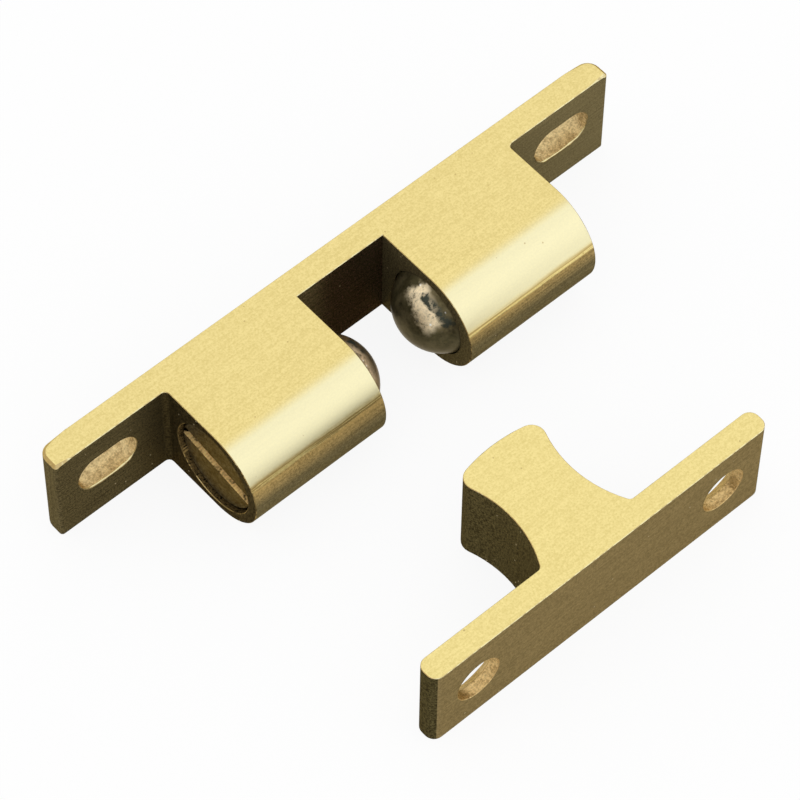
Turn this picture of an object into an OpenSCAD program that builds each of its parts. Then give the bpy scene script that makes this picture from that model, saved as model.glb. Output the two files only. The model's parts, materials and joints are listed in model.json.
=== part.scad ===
// Double ball catch: a brass body with two sprung steel balls that face each
// other across a gap, and the brass strike whose tongue snaps in between them.
// X runs along the body, the strike stands in front of it at -Y, and +Z is up.
// The origin is the middle of the body's back mounting face. Millimetres.

/* [Balls] */
// Diameter of each steel ball
ball_d = 7.14; // [5:0.01:9]
// How far each ball stands out of its barrel into the gap
ball_proud = 2.22; // [1.2:0.01:2.6]
// Radial clearance of a ball in its bore
ball_clear = 0.06; // [0.02:0.01:0.1]
// Clearance between a resting ball and the lip that keeps it in
lip_clear = 0.03; // [0.01:0.01:0.1]
// Slope of the lip's inner cone to the bore axis, in degrees
lip_angle = 18; // [12:1:28]

/* [Body] */
// Wall of each barrel above and below its bore
barrel_wall = 0.57; // [0.4:0.01:1.2]
// Metal between the flange's front face and the bores
bore_web = 1.07; // [0.6:0.01:3]
// How far the bores lie behind the centre line of the round nose
bore_set_back = 0.3; // [0:0.05:0.6]
// Length of each barrel
barrel_length = 11.55; // [10:0.05:18]
// Width of the gap between the two barrels
gap_width = 7.7; // [6:0.05:12]
// Thickness of the flange along the back
flange_thick = 2; // [1.2:0.05:4]
// Length of the flange tab beyond each barrel
tab_length = 9.45; // [8:0.05:16]
// Rounding of the upright back edge at each tab's end
tab_back_r = 1; // [0.2:0.05:1.4]
// Rounding of the upright front edge at each tab's end
tab_front_r = 0.25; // [0.1:0.05:1]
// Fillet where a barrel's outer end meets its tab
notch_r = 0.4; // [0.1:0.05:1]

/* [Fixing slots] */
// End-to-end length of each screw slot
slot_length = 5; // [4:0.05:6]
// Width of each screw slot
slot_width = 3.1; // [2:0.05:3.8]
// How far each slot lies outward of the middle of its tab
slot_outward = 0.45; // [0:0.05:0.8]
// How far each slot lies above the middle of the body's height
slot_rise = 0.5; // [-1:0.05:1]

/* [Springs] */
// Diameter of the spring wire
spring_wire = 0.45; // [0.3:0.01:0.6]
// Turns in each spring, closed ends included
spring_turns = 4; // [3:0.5:5]
// Turns at each end of a spring that lie closed
spring_end_turns = 0.8; // [0.5:0.1:1]
// Radial clearance of a spring in its bore
spring_clear = 0.43; // [0.2:0.01:0.8]
// Clearance of a spring's ends to its ball and its adjuster
spring_seat_clear = 0.02; // [0.01:0.01:0.1]

/* [Adjusters] */
// Thickness of each slotted adjuster screw
adjuster_thick = 2.2; // [1.6:0.05:3]
// How far each adjuster's face lies inside its barrel's end
adjuster_recess = 0.35; // [0.1:0.05:1]
// Radial clearance of an adjuster's thread in its bore
thread_clear = 0.07; // [0.02:0.01:0.1]
// Chamfer round both faces of an adjuster
adjuster_chamfer = 0.15; // [0.05:0.01:0.4]
// Width of the screwdriver slot
driver_slot_width = 0.95; // [0.6:0.05:1.4]
// Depth of the screwdriver slot
driver_slot_depth = 0.9; // [0.4:0.05:1.2]
// Turn of the left adjuster's slot from level, in degrees
left_slot_turn = -10; // [-90:1:90]
// Turn of the right adjuster's slot from level, in degrees
right_slot_turn = 35; // [-90:1:90]

/* [Strike plate] */
// Length of the strike's plate
strike_length = 29.8; // [28:0.1:40]
// Height of the strike
strike_height = 8; // [7.5:0.05:12]
// Thickness of the strike's plate
strike_thick = 1.85; // [1.4:0.05:3]
// Rounding of the upright edges at the plate ends
strike_end_r = 0.75; // [0.2:0.05:1]
// Distance between the strike's two screw holes
strike_hole_spacing = 22; // [20:0.1:24]
// Diameter of the strike's screw holes
strike_hole_d = 3.6; // [2.5:0.1:4]
// Depth of each countersink, on the tongue's side of the plate
countersink_depth = 1; // [0.4:0.05:1.1]
// Full angle of the countersinks, in degrees
countersink_angle = 120; // [60:1:122]

/* [Tongue] */
// Clearance between the tongue's head and each side of the gap
tongue_side_clear = 0.45; // [0.2:0.05:1]
// Clearance between the tongue's tip and the flange when the catch is shut
tongue_end_clear = 0.05; // [0:0.05:0.5]
// How deep each side of the tongue is hollowed for its ball
tongue_hollow = 0.6; // [0.2:0.05:1.2]
// Rounding of the head's two corners
tongue_corner_r = 1; // [0.3:0.05:1.2]
// Radius of the tongue's slightly crowned tip
tongue_tip_r = 12; // [8:0.1:40]
// Fillet where the tongue meets the plate
tongue_root_r = 0.4; // [0.1:0.05:0.8]

/* [Layout] */
// Open distance from the body's nose to the tongue's tip
strike_gap = 8.15; // [2:0.05:30]
// Sideways place of the strike's middle from the body's middle
strike_shift = -1.75; // [-10:0.05:10]

/* [Hidden] */
$fn = 96;
right_side = 1;
left_side = -1;
brass = "#e0cc82";
steel = "#a39e92";
spring_steel = "#8a8c90";
dark_brass = "#b79a4e";
// Extra length that carries a cut clear of the face it opens
overcut = 1;
// Steps in each quarter of a small rounding and in each long arc
corner_steps = 6;
arc_steps = 12;

// The bores, and the section of the body around them
ball_r = ball_d / 2;
bore_r = ball_r + ball_clear;
nose_r = bore_r + barrel_wall;
body_height = 2 * nose_r;
axis_depth = flange_thick + bore_web + bore_r;
nose_depth = axis_depth + bore_set_back;
body_depth = nose_depth + nose_r;
floor_z = -body_height / 2;

// Distances along X from the middle of the gap
gap_half = gap_width / 2;
barrel_end = gap_half + barrel_length;
body_half = barrel_end + tab_length;
slot_x = barrel_end + tab_length / 2 + slot_outward;
ball_x = gap_half + ball_r - ball_proud;

// The lip is a cone that the resting ball almost touches
lip_contact_r = ball_r + lip_clear;
lip_start_x = ball_x - (lip_contact_r - bore_r * cos(lip_angle)) / sin(lip_angle);
lip_tip_x = gap_half - overcut;
lip_tip_r = (lip_contact_r - (ball_x - lip_tip_x) * sin(lip_angle)) / cos(lip_angle);

// The adjusters and the springs that they press on
adjuster_r = bore_r - thread_clear;
adjuster_face_x = barrel_end - adjuster_recess;
adjuster_back_x = adjuster_face_x - adjuster_thick;
wire_r = spring_wire / 2;
coil_r = bore_r - spring_clear - wire_r;
spring_near_x = ball_x + sqrt(pow(ball_r + wire_r + spring_seat_clear, 2) - pow(coil_r, 2));
spring_far_x = adjuster_back_x - wire_r - spring_seat_clear;
spring_span = spring_far_x - spring_near_x;
closed_pitch = 1.05 * spring_wire;
closed_span = spring_end_turns * closed_pitch;
open_turns = spring_turns - 2 * spring_end_turns;
wire_sides = 8;
rings_per_turn = 24;
ring_count = ceil(spring_turns * rings_per_turn);

// The strike's outline, from the middle of its back face
head_half = gap_half - tongue_side_clear;
waist_half = head_half - tongue_hollow;
waist_y = strike_thick + body_depth - axis_depth;
tip_y = strike_thick + body_depth - flange_thick - tongue_end_clear;
corner_x = head_half - tongue_corner_r;
corner_y = tip_y - tongue_tip_r
    + sqrt(pow(tongue_tip_r - tongue_corner_r, 2) - pow(corner_x, 2));
corner_rise = corner_y - waist_y;
side_r = (pow(waist_half - corner_x, 2) + pow(corner_rise, 2) - pow(tongue_corner_r, 2))
    / (2 * tongue_hollow);
side_x = waist_half + side_r;
root_y = strike_thick + tongue_root_r;
root_x = side_x - sqrt(pow(side_r - tongue_root_r, 2) - pow(waist_y - root_y, 2));
tip_angle = atan2(corner_y - tip_y + tongue_tip_r, corner_x);
neck_angle = atan2(waist_y - corner_y, side_x - corner_x);
root_angle = 360 + atan2(root_y - waist_y, root_x - side_x);
strike_half = strike_length / 2;
strike_y = -body_depth - strike_gap - tip_y;

// Points of an arc about a centre, from one angle to another
function arc(centre, r, from, to, steps) =
    [for (i = [0:steps]) let (a = from + (to - from) * i / steps) centre + r * [cos(a), sin(a)]];

// The same points on the other side of the Y axis, in reverse order
function other_half(points) =
    [for (i = [len(points) - 1:-1:0]) [-points[i][0], points[i][1]]];

// Right end of a plate from its far face to its near one, with both corners round
function plate_end(half_length, far_y, near_y, far_r, near_r) =
    let (fit = min(1, 0.98 * (far_y - near_y) / (far_r + near_r)), a = fit * far_r, b = fit * near_r)
    concat(
        arc([half_length - a, far_y - a], a, 90, 0, corner_steps),
        arc([half_length - b, near_y + b], b, 0, -90, corner_steps)
    );

// Right half of the body seen from above, open past the nose
body_half_plan = concat(
    plate_end(body_half, 0, -flange_thick, tab_back_r, tab_front_r),
    arc([barrel_end + notch_r, -flange_thick - notch_r], notch_r, 90, 180, corner_steps),
    [
        [barrel_end, -body_depth - overcut],
        [gap_half, -body_depth - overcut],
        [gap_half, -flange_thick],
    ]
);

// Right half of the strike seen from above, from the tip to the back face
strike_half_plan = concat(
    arc([0, tip_y - tongue_tip_r], tongue_tip_r, 90, tip_angle, corner_steps),
    arc([corner_x, corner_y], tongue_corner_r, tip_angle, neck_angle, corner_steps),
    arc([side_x, waist_y], side_r, 180 + neck_angle, root_angle, arc_steps),
    arc([root_x, root_y], tongue_root_r, root_angle, 270, corner_steps),
    plate_end(strike_half, strike_thick, 0, strike_end_r, strike_end_r)
);

// Axial place of the spring wire after a number of turns from the ball
function wire_x(turns) =
    turns < spring_end_turns ? turns * closed_pitch
    : turns > spring_turns - spring_end_turns ? spring_span - (spring_turns - turns) * closed_pitch
    : closed_span + (turns - spring_end_turns) / open_turns * (spring_span - 2 * closed_span);

// One ring of points round the spring wire, after a number of turns
function wire_ring(turns) =
    [for (k = [0:wire_sides - 1])
        let (a = 360 * k / wire_sides, r = coil_r + wire_r * cos(a))
        [
            spring_near_x + wire_x(turns) + wire_r * sin(a),
            r * cos(360 * turns),
            r * sin(360 * turns),
        ]];

// Places a piece on a bore's axis, with its own +X pointing out of the barrel
module on_bore(side) {
    translate([0, -axis_depth, 0]) rotate([0, 0, side == right_side ? 0 : 180]) children();
}

// The body's section along X: flat top, bottom and back, and a round nose
module body_bar() {
    rotate([90, 0, 90]) linear_extrude(2 * body_half + overcut, center = true) {
        translate([-nose_depth, floor_z]) square([nose_depth, body_height]);
        translate([-nose_depth, 0]) circle(nose_r);
    }
}

// The hole for a ball, spring and adjuster, narrowed by the lip at the gap
module bore() {
    rotate([0, 90, 0]) rotate_extrude() polygon([
        [0, lip_tip_x],
        [lip_tip_r, lip_tip_x],
        [bore_r, lip_start_x],
        [bore_r, barrel_end + overcut],
        [0, barrel_end + overcut],
    ]);
}

// A round-ended screw slot through the flange
module screw_slot() {
    run = slot_length - slot_width;
    translate([-run / 2, -flange_thick - overcut, -slot_width / 2])
        cube([run, flange_thick + 2 * overcut, slot_width]);
    for (end = [-run / 2, run / 2])
        translate([end, overcut, 0]) rotate([90, 0, 0])
            cylinder(h = flange_thick + 2 * overcut, d = slot_width);
}

// A screw hole through the strike, countersunk on the tongue's side
module strike_hole() {
    hole_r = strike_hole_d / 2;
    land = strike_thick - countersink_depth;
    sink = countersink_depth + overcut;
    rotate([-90, 0, 0]) rotate_extrude() polygon([
        [0, -overcut],
        [hole_r, -overcut],
        [hole_r, land],
        [hole_r + sink * tan(countersink_angle / 2), land + sink],
        [0, land + sink],
    ]);
}

module ball(side) {
    color(steel) on_bore(side) translate([ball_x, 0, 0]) sphere(ball_r);
}

module spring(side) {
    points = [for (i = [0:ring_count]) each wire_ring(spring_turns * i / ring_count)];
    walls = [for (i = [0:ring_count - 1], k = [0:wire_sides - 1])
        let (a = i * wire_sides + k, b = i * wire_sides + (k + 1) % wire_sides)
        each [[a, b, b + wire_sides], [a, b + wire_sides, a + wire_sides]]];
    first_end = [for (k = [wire_sides - 1:-1:0]) k];
    last_end = [for (k = [0:wire_sides - 1]) ring_count * wire_sides + k];
    color(spring_steel) on_bore(side)
        polyhedron(points, concat(walls, [first_end, last_end]));
}

module adjuster(side, slot_turn) {
    color(dark_brass) on_bore(side) difference() {
        rotate([0, 90, 0]) rotate_extrude() polygon([
            [0, adjuster_back_x],
            [adjuster_r - adjuster_chamfer, adjuster_back_x],
            [adjuster_r, adjuster_back_x + adjuster_chamfer],
            [adjuster_r, adjuster_face_x - adjuster_chamfer],
            [adjuster_r - adjuster_chamfer, adjuster_face_x],
            [0, adjuster_face_x],
        ]);
        translate([adjuster_face_x - driver_slot_depth, 0, 0]) rotate([slot_turn, 0, 0])
            translate([0, -bore_r, -driver_slot_width / 2])
                cube([driver_slot_depth + overcut, 2 * bore_r, driver_slot_width]);
    }
}

module catch_body() {
    color(brass) difference() {
        intersection() {
            translate([0, 0, floor_z - overcut]) linear_extrude(body_height + 2 * overcut)
                polygon(concat(body_half_plan, other_half(body_half_plan)));
            body_bar();
        }
        for (side = [right_side, left_side]) {
            on_bore(side) bore();
            translate([side * slot_x, 0, slot_rise]) screw_slot();
        }
    }
}

module strike() {
    color(brass) translate([strike_shift, strike_y, floor_z]) difference() {
        linear_extrude(strike_height)
            polygon(concat(strike_half_plan, other_half(strike_half_plan)));
        for (side = [right_side, left_side])
            translate([side * strike_hole_spacing / 2, 0, strike_height / 2]) strike_hole();
    }
}

catch_body();
ball(left_side);  // left_ball
ball(right_side);  // right_ball
spring(left_side);  // left_spring
spring(right_side);  // right_spring
adjuster(left_side, left_slot_turn);  // left_adjuster
adjuster(right_side, right_slot_turn);  // right_adjuster
strike();
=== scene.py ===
"""Dresses a brass double ball catch and its strike, as they lie on a pale studio floor.

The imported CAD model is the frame. Everything is in metres in its row frame: +X runs along the
catch's body, -Y out of its front towards the strike, and +Z up.
"""
import json
import logging
import math
from dataclasses import dataclass, replace
from enum import Enum
from functools import cached_property
from typing import Callable, Optional, Sequence, Union

import bmesh
import bpy
from mathutils import Matrix, Vector, noise
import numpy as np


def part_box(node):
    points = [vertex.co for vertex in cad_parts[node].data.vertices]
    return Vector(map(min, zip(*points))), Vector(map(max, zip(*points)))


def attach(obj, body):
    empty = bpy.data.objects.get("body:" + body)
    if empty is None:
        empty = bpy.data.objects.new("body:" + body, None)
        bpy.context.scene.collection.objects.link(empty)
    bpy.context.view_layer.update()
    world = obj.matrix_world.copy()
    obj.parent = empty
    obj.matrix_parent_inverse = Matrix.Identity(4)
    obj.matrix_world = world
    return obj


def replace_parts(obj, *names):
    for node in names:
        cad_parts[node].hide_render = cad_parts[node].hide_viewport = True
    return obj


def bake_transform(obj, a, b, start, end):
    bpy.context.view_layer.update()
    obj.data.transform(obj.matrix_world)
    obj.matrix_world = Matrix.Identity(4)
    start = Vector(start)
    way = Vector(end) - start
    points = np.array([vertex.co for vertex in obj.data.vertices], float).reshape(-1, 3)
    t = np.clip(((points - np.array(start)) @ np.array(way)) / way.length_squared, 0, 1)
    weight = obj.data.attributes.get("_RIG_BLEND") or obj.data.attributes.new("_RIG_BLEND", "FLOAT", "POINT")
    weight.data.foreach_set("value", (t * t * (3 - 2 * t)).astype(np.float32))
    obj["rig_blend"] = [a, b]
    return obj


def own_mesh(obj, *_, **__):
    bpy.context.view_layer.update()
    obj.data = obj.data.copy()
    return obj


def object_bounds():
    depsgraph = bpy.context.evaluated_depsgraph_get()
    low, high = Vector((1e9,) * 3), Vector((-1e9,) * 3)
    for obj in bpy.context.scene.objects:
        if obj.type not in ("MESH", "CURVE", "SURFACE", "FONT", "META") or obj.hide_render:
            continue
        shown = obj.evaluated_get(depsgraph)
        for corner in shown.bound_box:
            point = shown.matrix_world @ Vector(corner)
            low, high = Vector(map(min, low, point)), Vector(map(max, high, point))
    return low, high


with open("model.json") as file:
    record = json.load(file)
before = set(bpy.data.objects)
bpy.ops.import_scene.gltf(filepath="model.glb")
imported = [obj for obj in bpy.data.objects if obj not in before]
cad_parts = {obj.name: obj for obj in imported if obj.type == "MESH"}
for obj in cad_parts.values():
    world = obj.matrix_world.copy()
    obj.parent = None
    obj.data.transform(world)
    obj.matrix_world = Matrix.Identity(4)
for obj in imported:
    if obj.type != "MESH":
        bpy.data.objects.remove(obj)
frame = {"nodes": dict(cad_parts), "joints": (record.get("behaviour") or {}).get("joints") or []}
CAD_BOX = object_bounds()

MM = 0.001
WELD = 1e-6
EDGE_WEAR_AND_HIGHLIGHT = "worn_edge"
PAINTED_SHADE = "recess"
HOLE_WALL = "hole_wall"
SIDEWAYS = 0.6
Colour = tuple[float, float, float]
Point = tuple[float, float, float]
Span = tuple[float, float]

# Places on the body, in millimetres, between which its painted shade or a mark of its finish comes or goes.
GAP_SIDES: Span = (3.95, 3.86)
GAP_OPEN_END: Span = (-0.3, -3.6)
GAP_MIDDLE_START: Span = (-3.4, -0.8)
GAP_MIDDLE_END: Span = (3.7, 1.6)
CORNER_START: Span = (-19.5, -15.6)
CORNER_END: Span = (-15.1, -15.35)
CORNER_DEPTH: Span = (-11.0, -6.5)
OFF_BACK: Span = (-0.5, -1.5)
BORE_MOUTH: Span = (14.7, 15.25)
LEFT_TAB_END: Span = (-23.6, -23.9)

log = logging.getLogger("ball_catch")


class Side(Enum):
    """The two ends of the catch's body."""

    LEFT = -1
    RIGHT = 1

    @property
    def word(self) -> str:
        """The word that starts the names of this side's pieces."""
        return self.name.lower()


class Hollow(Enum):
    """How much painted shade each kind of face gets, up to 1; the more shaded faces also get less polish and
    less edge wear.
    """

    BORE = 1.0
    GAP_BACK = 0.93
    GAP_SIDE = 0.60
    # Faces on the left get more painted shade than their twins on the right.
    LEFT_NOTCH = 0.72
    RIGHT_NOTCH = 0.25
    BARREL_END = 0.85
    NOSE = 0.2
    LEFT_TAB = 0.62
    RIGHT_TAB = 0.1
    TAB_END = 0.45
    TONGUE = 0.8
    STRIKE_END = 0.85
    STRIKE_FRONT = 0.5


class Signal:
    """A number that a node tree works out. Its operators add Math nodes."""

    def __init__(self, tree: "ShaderTree", socket: bpy.types.NodeSocket) -> None:
        """Wraps an output socket of the tree."""
        self.tree = tree
        self.socket = socket

    def __add__(self, other: "Value") -> "Signal":
        """Adds a value."""
        return self.tree.math("ADD", self, other)

    def __sub__(self, other: "Value") -> "Signal":
        """Takes a value away."""
        return self.tree.math("SUBTRACT", self, other)

    def __rsub__(self, other: "Value") -> "Signal":
        """Takes this signal away from a value."""
        return self.tree.math("SUBTRACT", other, self)

    def __mul__(self, other: "Value") -> "Signal":
        """Multiplies by a value."""
        return self.tree.math("MULTIPLY", self, other)

    def __neg__(self) -> "Signal":
        """Changes the sign."""
        return self * -1.0

    def __abs__(self) -> "Signal":
        """Drops the sign."""
        return self.tree.math("ABSOLUTE", self, 0.0)

    __radd__ = __add__
    __rmul__ = __mul__

    def highest(self, other: "Value") -> "Signal":
        """Takes the larger of two values."""
        return self.tree.math("MAXIMUM", self, other)

    def ramp(self, low: float, high: float) -> "Signal":
        """Rises smoothly from 0 at low to 1 at high, or falls where low is above high.

        Args:
            low: Value at which the result is 0.
            high: Value at which the result is 1.

        Returns:
            The result, held between 0 and 1.
        """
        made = self.tree.node(
            "ShaderNodeMapRange",
            {"interpolation_type": "SMOOTHSTEP"},
            {"Value": self, "From Min": low, "From Max": high},
        )
        return Signal(self.tree, made.outputs["Result"])


Value = Union[Signal, float]
Tint = Union[Colour, bpy.types.NodeSocket]


class ShaderTree:
    """A node tree that is built from Python expressions."""

    def __init__(self, tree: bpy.types.NodeTree) -> None:
        """Empties the tree that is to be built."""
        self.tree = tree
        tree.nodes.clear()

    def node(
        self,
        kind: str,
        settings: Optional[dict[str, object]] = None,
        inputs: Optional[dict[str, object]] = None,
    ) -> bpy.types.Node:
        """Adds a node.

        Args:
            kind: Blender's name for the node's type.
            settings: Properties, which are set first.
            inputs: Values or links of its sockets, by identifier or name.

        Returns:
            The new node.
        """
        made = self.tree.nodes.new(kind)
        for key, value in (settings or {}).items():
            setattr(made, key, value)
        for key, value in (inputs or {}).items():
            found = [s for s in made.inputs if s.identifier == key]
            socket = found[0] if found else made.inputs[key]
            if isinstance(value, Signal):
                self.tree.links.new(value.socket, socket)
            elif isinstance(value, bpy.types.NodeSocket):
                self.tree.links.new(value, socket)
            elif socket.type == "RGBA":
                socket.default_value = (*value, 1.0)
            else:
                socket.default_value = value
        return made

    def math(self, operation: str, first: Value, second: Value) -> Signal:
        """Adds a Math node.

        Args:
            operation: Blender's name for the operation.
            first: Its first value.
            second: Its second value.

        Returns:
            The result.
        """
        made = self.node("ShaderNodeMath", {"operation": operation})
        for socket, value in zip(made.inputs, (first, second)):
            if isinstance(value, Signal):
                self.tree.links.new(value.socket, socket)
            else:
                socket.default_value = value
        return Signal(self, made.outputs["Value"])

    def mix(self, share: Value, first: Tint, second: Tint) -> bpy.types.NodeSocket:
        """Mixes two colours.

        Args:
            share: How much of the second colour there is.
            first: Colour where the share is 0.
            second: Colour where the share is 1.

        Returns:
            The mixed colour.
        """
        made = self.node(
            "ShaderNodeMix",
            {"data_type": "RGBA"},
            {"Factor_Float": share, "A_Color": first, "B_Color": second},
        )
        return next(s for s in made.outputs if s.identifier == "Result_Color")

    def scaled(self, vector: bpy.types.NodeSocket, scale: Point) -> bpy.types.NodeSocket:
        """Stretches a vector by a factor along each axis."""
        made = self.node("ShaderNodeVectorMath", {"operation": "MULTIPLY"}, {"Vector": vector})
        made.inputs[1].default_value = scale
        return made.outputs["Vector"]

    def shifted(self, vector: bpy.types.NodeSocket, offset: Point) -> bpy.types.NodeSocket:
        """Takes a fixed vector away from another."""
        made = self.node("ShaderNodeVectorMath", {"operation": "SUBTRACT"}, {"Vector": vector})
        made.inputs[1].default_value = offset
        return made.outputs["Vector"]

    def along(self, vector: bpy.types.NodeSocket, direction: Point) -> Signal:
        """Measures a vector along a fixed direction."""
        made = self.node("ShaderNodeVectorMath", {"operation": "DOT_PRODUCT"}, {"Vector": vector})
        made.inputs[1].default_value = direction
        return Signal(self, made.outputs["Value"])

    def dimmed(self, colour: bpy.types.NodeSocket, factor: Signal) -> bpy.types.NodeSocket:
        """Multiplies a colour by a number."""
        made = self.node(
            "ShaderNodeVectorMath", {"operation": "SCALE"}, {"Vector": colour, "Scale": factor}
        )
        return made.outputs["Vector"]

    def split(self, vector: bpy.types.NodeSocket) -> tuple[Signal, Signal, Signal]:
        """Gives a vector's three numbers."""
        made = self.node("ShaderNodeSeparateXYZ", inputs={"Vector": vector})
        return tuple(Signal(self, made.outputs[axis]) for axis in "XYZ")

    def place(self) -> bpy.types.NodeSocket:
        """Gives the place on the piece in the row frame at rest, in millimetres."""
        coordinate = self.node("ShaderNodeTexCoord")
        return self.scaled(coordinate.outputs["Object"], (1 / MM, 1 / MM, 1 / MM))

    def facing(self) -> tuple[Signal, Signal, Signal]:
        """Gives the surface's own normal, in the row frame at rest."""
        return self.split(self.node("ShaderNodeTexCoord").outputs["Normal"])

    def attribute(self, name: str) -> Signal:
        """Reads a number that the mesh carries."""
        made = self.node("ShaderNodeAttribute", {"attribute_name": name})
        return Signal(self, made.outputs["Fac"])

    def noise(
        self, vector: bpy.types.NodeSocket, scale: float, detail: float, roughness: float = 0.5
    ) -> Signal:
        """Adds soft noise.

        Args:
            vector: Place at which the noise is read.
            scale: Waves to a unit of the vector.
            detail: Octaves of finer noise.
            roughness: How strong the finer octaves are.

        Returns:
            The noise, about 0.5.
        """
        made = self.node(
            "ShaderNodeTexNoise",
            inputs={"Vector": vector, "Scale": scale, "Detail": detail, "Roughness": roughness},
        )
        return Signal(self, made.outputs["Fac"])

    def dots(
        self, vector: bpy.types.NodeSocket, scale: float, radius: float, share: float
    ) -> Signal:
        """Adds small round dots in some cells of an irregular grid.

        Args:
            vector: Place at which the dots are read.
            scale: Cells to a unit of the vector.
            radius: Radius of a dot, as a part of a cell.
            share: Share of the cells that have a dot.

        Returns:
            1 in a dot and 0 outside.
        """
        cells = self.node("ShaderNodeTexVoronoi", inputs={"Vector": vector, "Scale": scale})
        picked = self.split(cells.outputs["Color"])[0]
        distance = Signal(self, cells.outputs["Distance"])
        return distance.ramp(radius, 0.5 * radius) * picked.ramp(1.0 - share, 1.01 - share)

    def bump(self, height: Signal, strength: float, depth: float) -> bpy.types.NodeSocket:
        """Tilts the shading by a height.

        Args:
            height: Height over the surface, as a part of the depth.
            strength: Strength of the effect, up to 1.
            depth: Height of 1, in metres.

        Returns:
            The tilted normal.
        """
        made = self.node(
            "ShaderNodeBump",
            inputs={"Strength": strength, "Distance": depth, "Height": height},
        )
        return made.outputs["Normal"]

    def surface(self, **inputs: object) -> None:
        """Ends a material with a surface shader, given its sockets by name with _ for a space."""
        named = {key.replace("_", " "): value for key, value in inputs.items()}
        shader = self.node("ShaderNodeBsdfPrincipled", inputs=named)
        self.node("ShaderNodeOutputMaterial", inputs={"Surface": shader.outputs["BSDF"]})


def new_material(name: str) -> tuple[bpy.types.Material, ShaderTree]:
    """Starts a material, and gives it with its empty tree."""
    material = bpy.data.materials.new(name)
    material.use_nodes = True
    return material, ShaderTree(material.node_tree)


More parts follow.
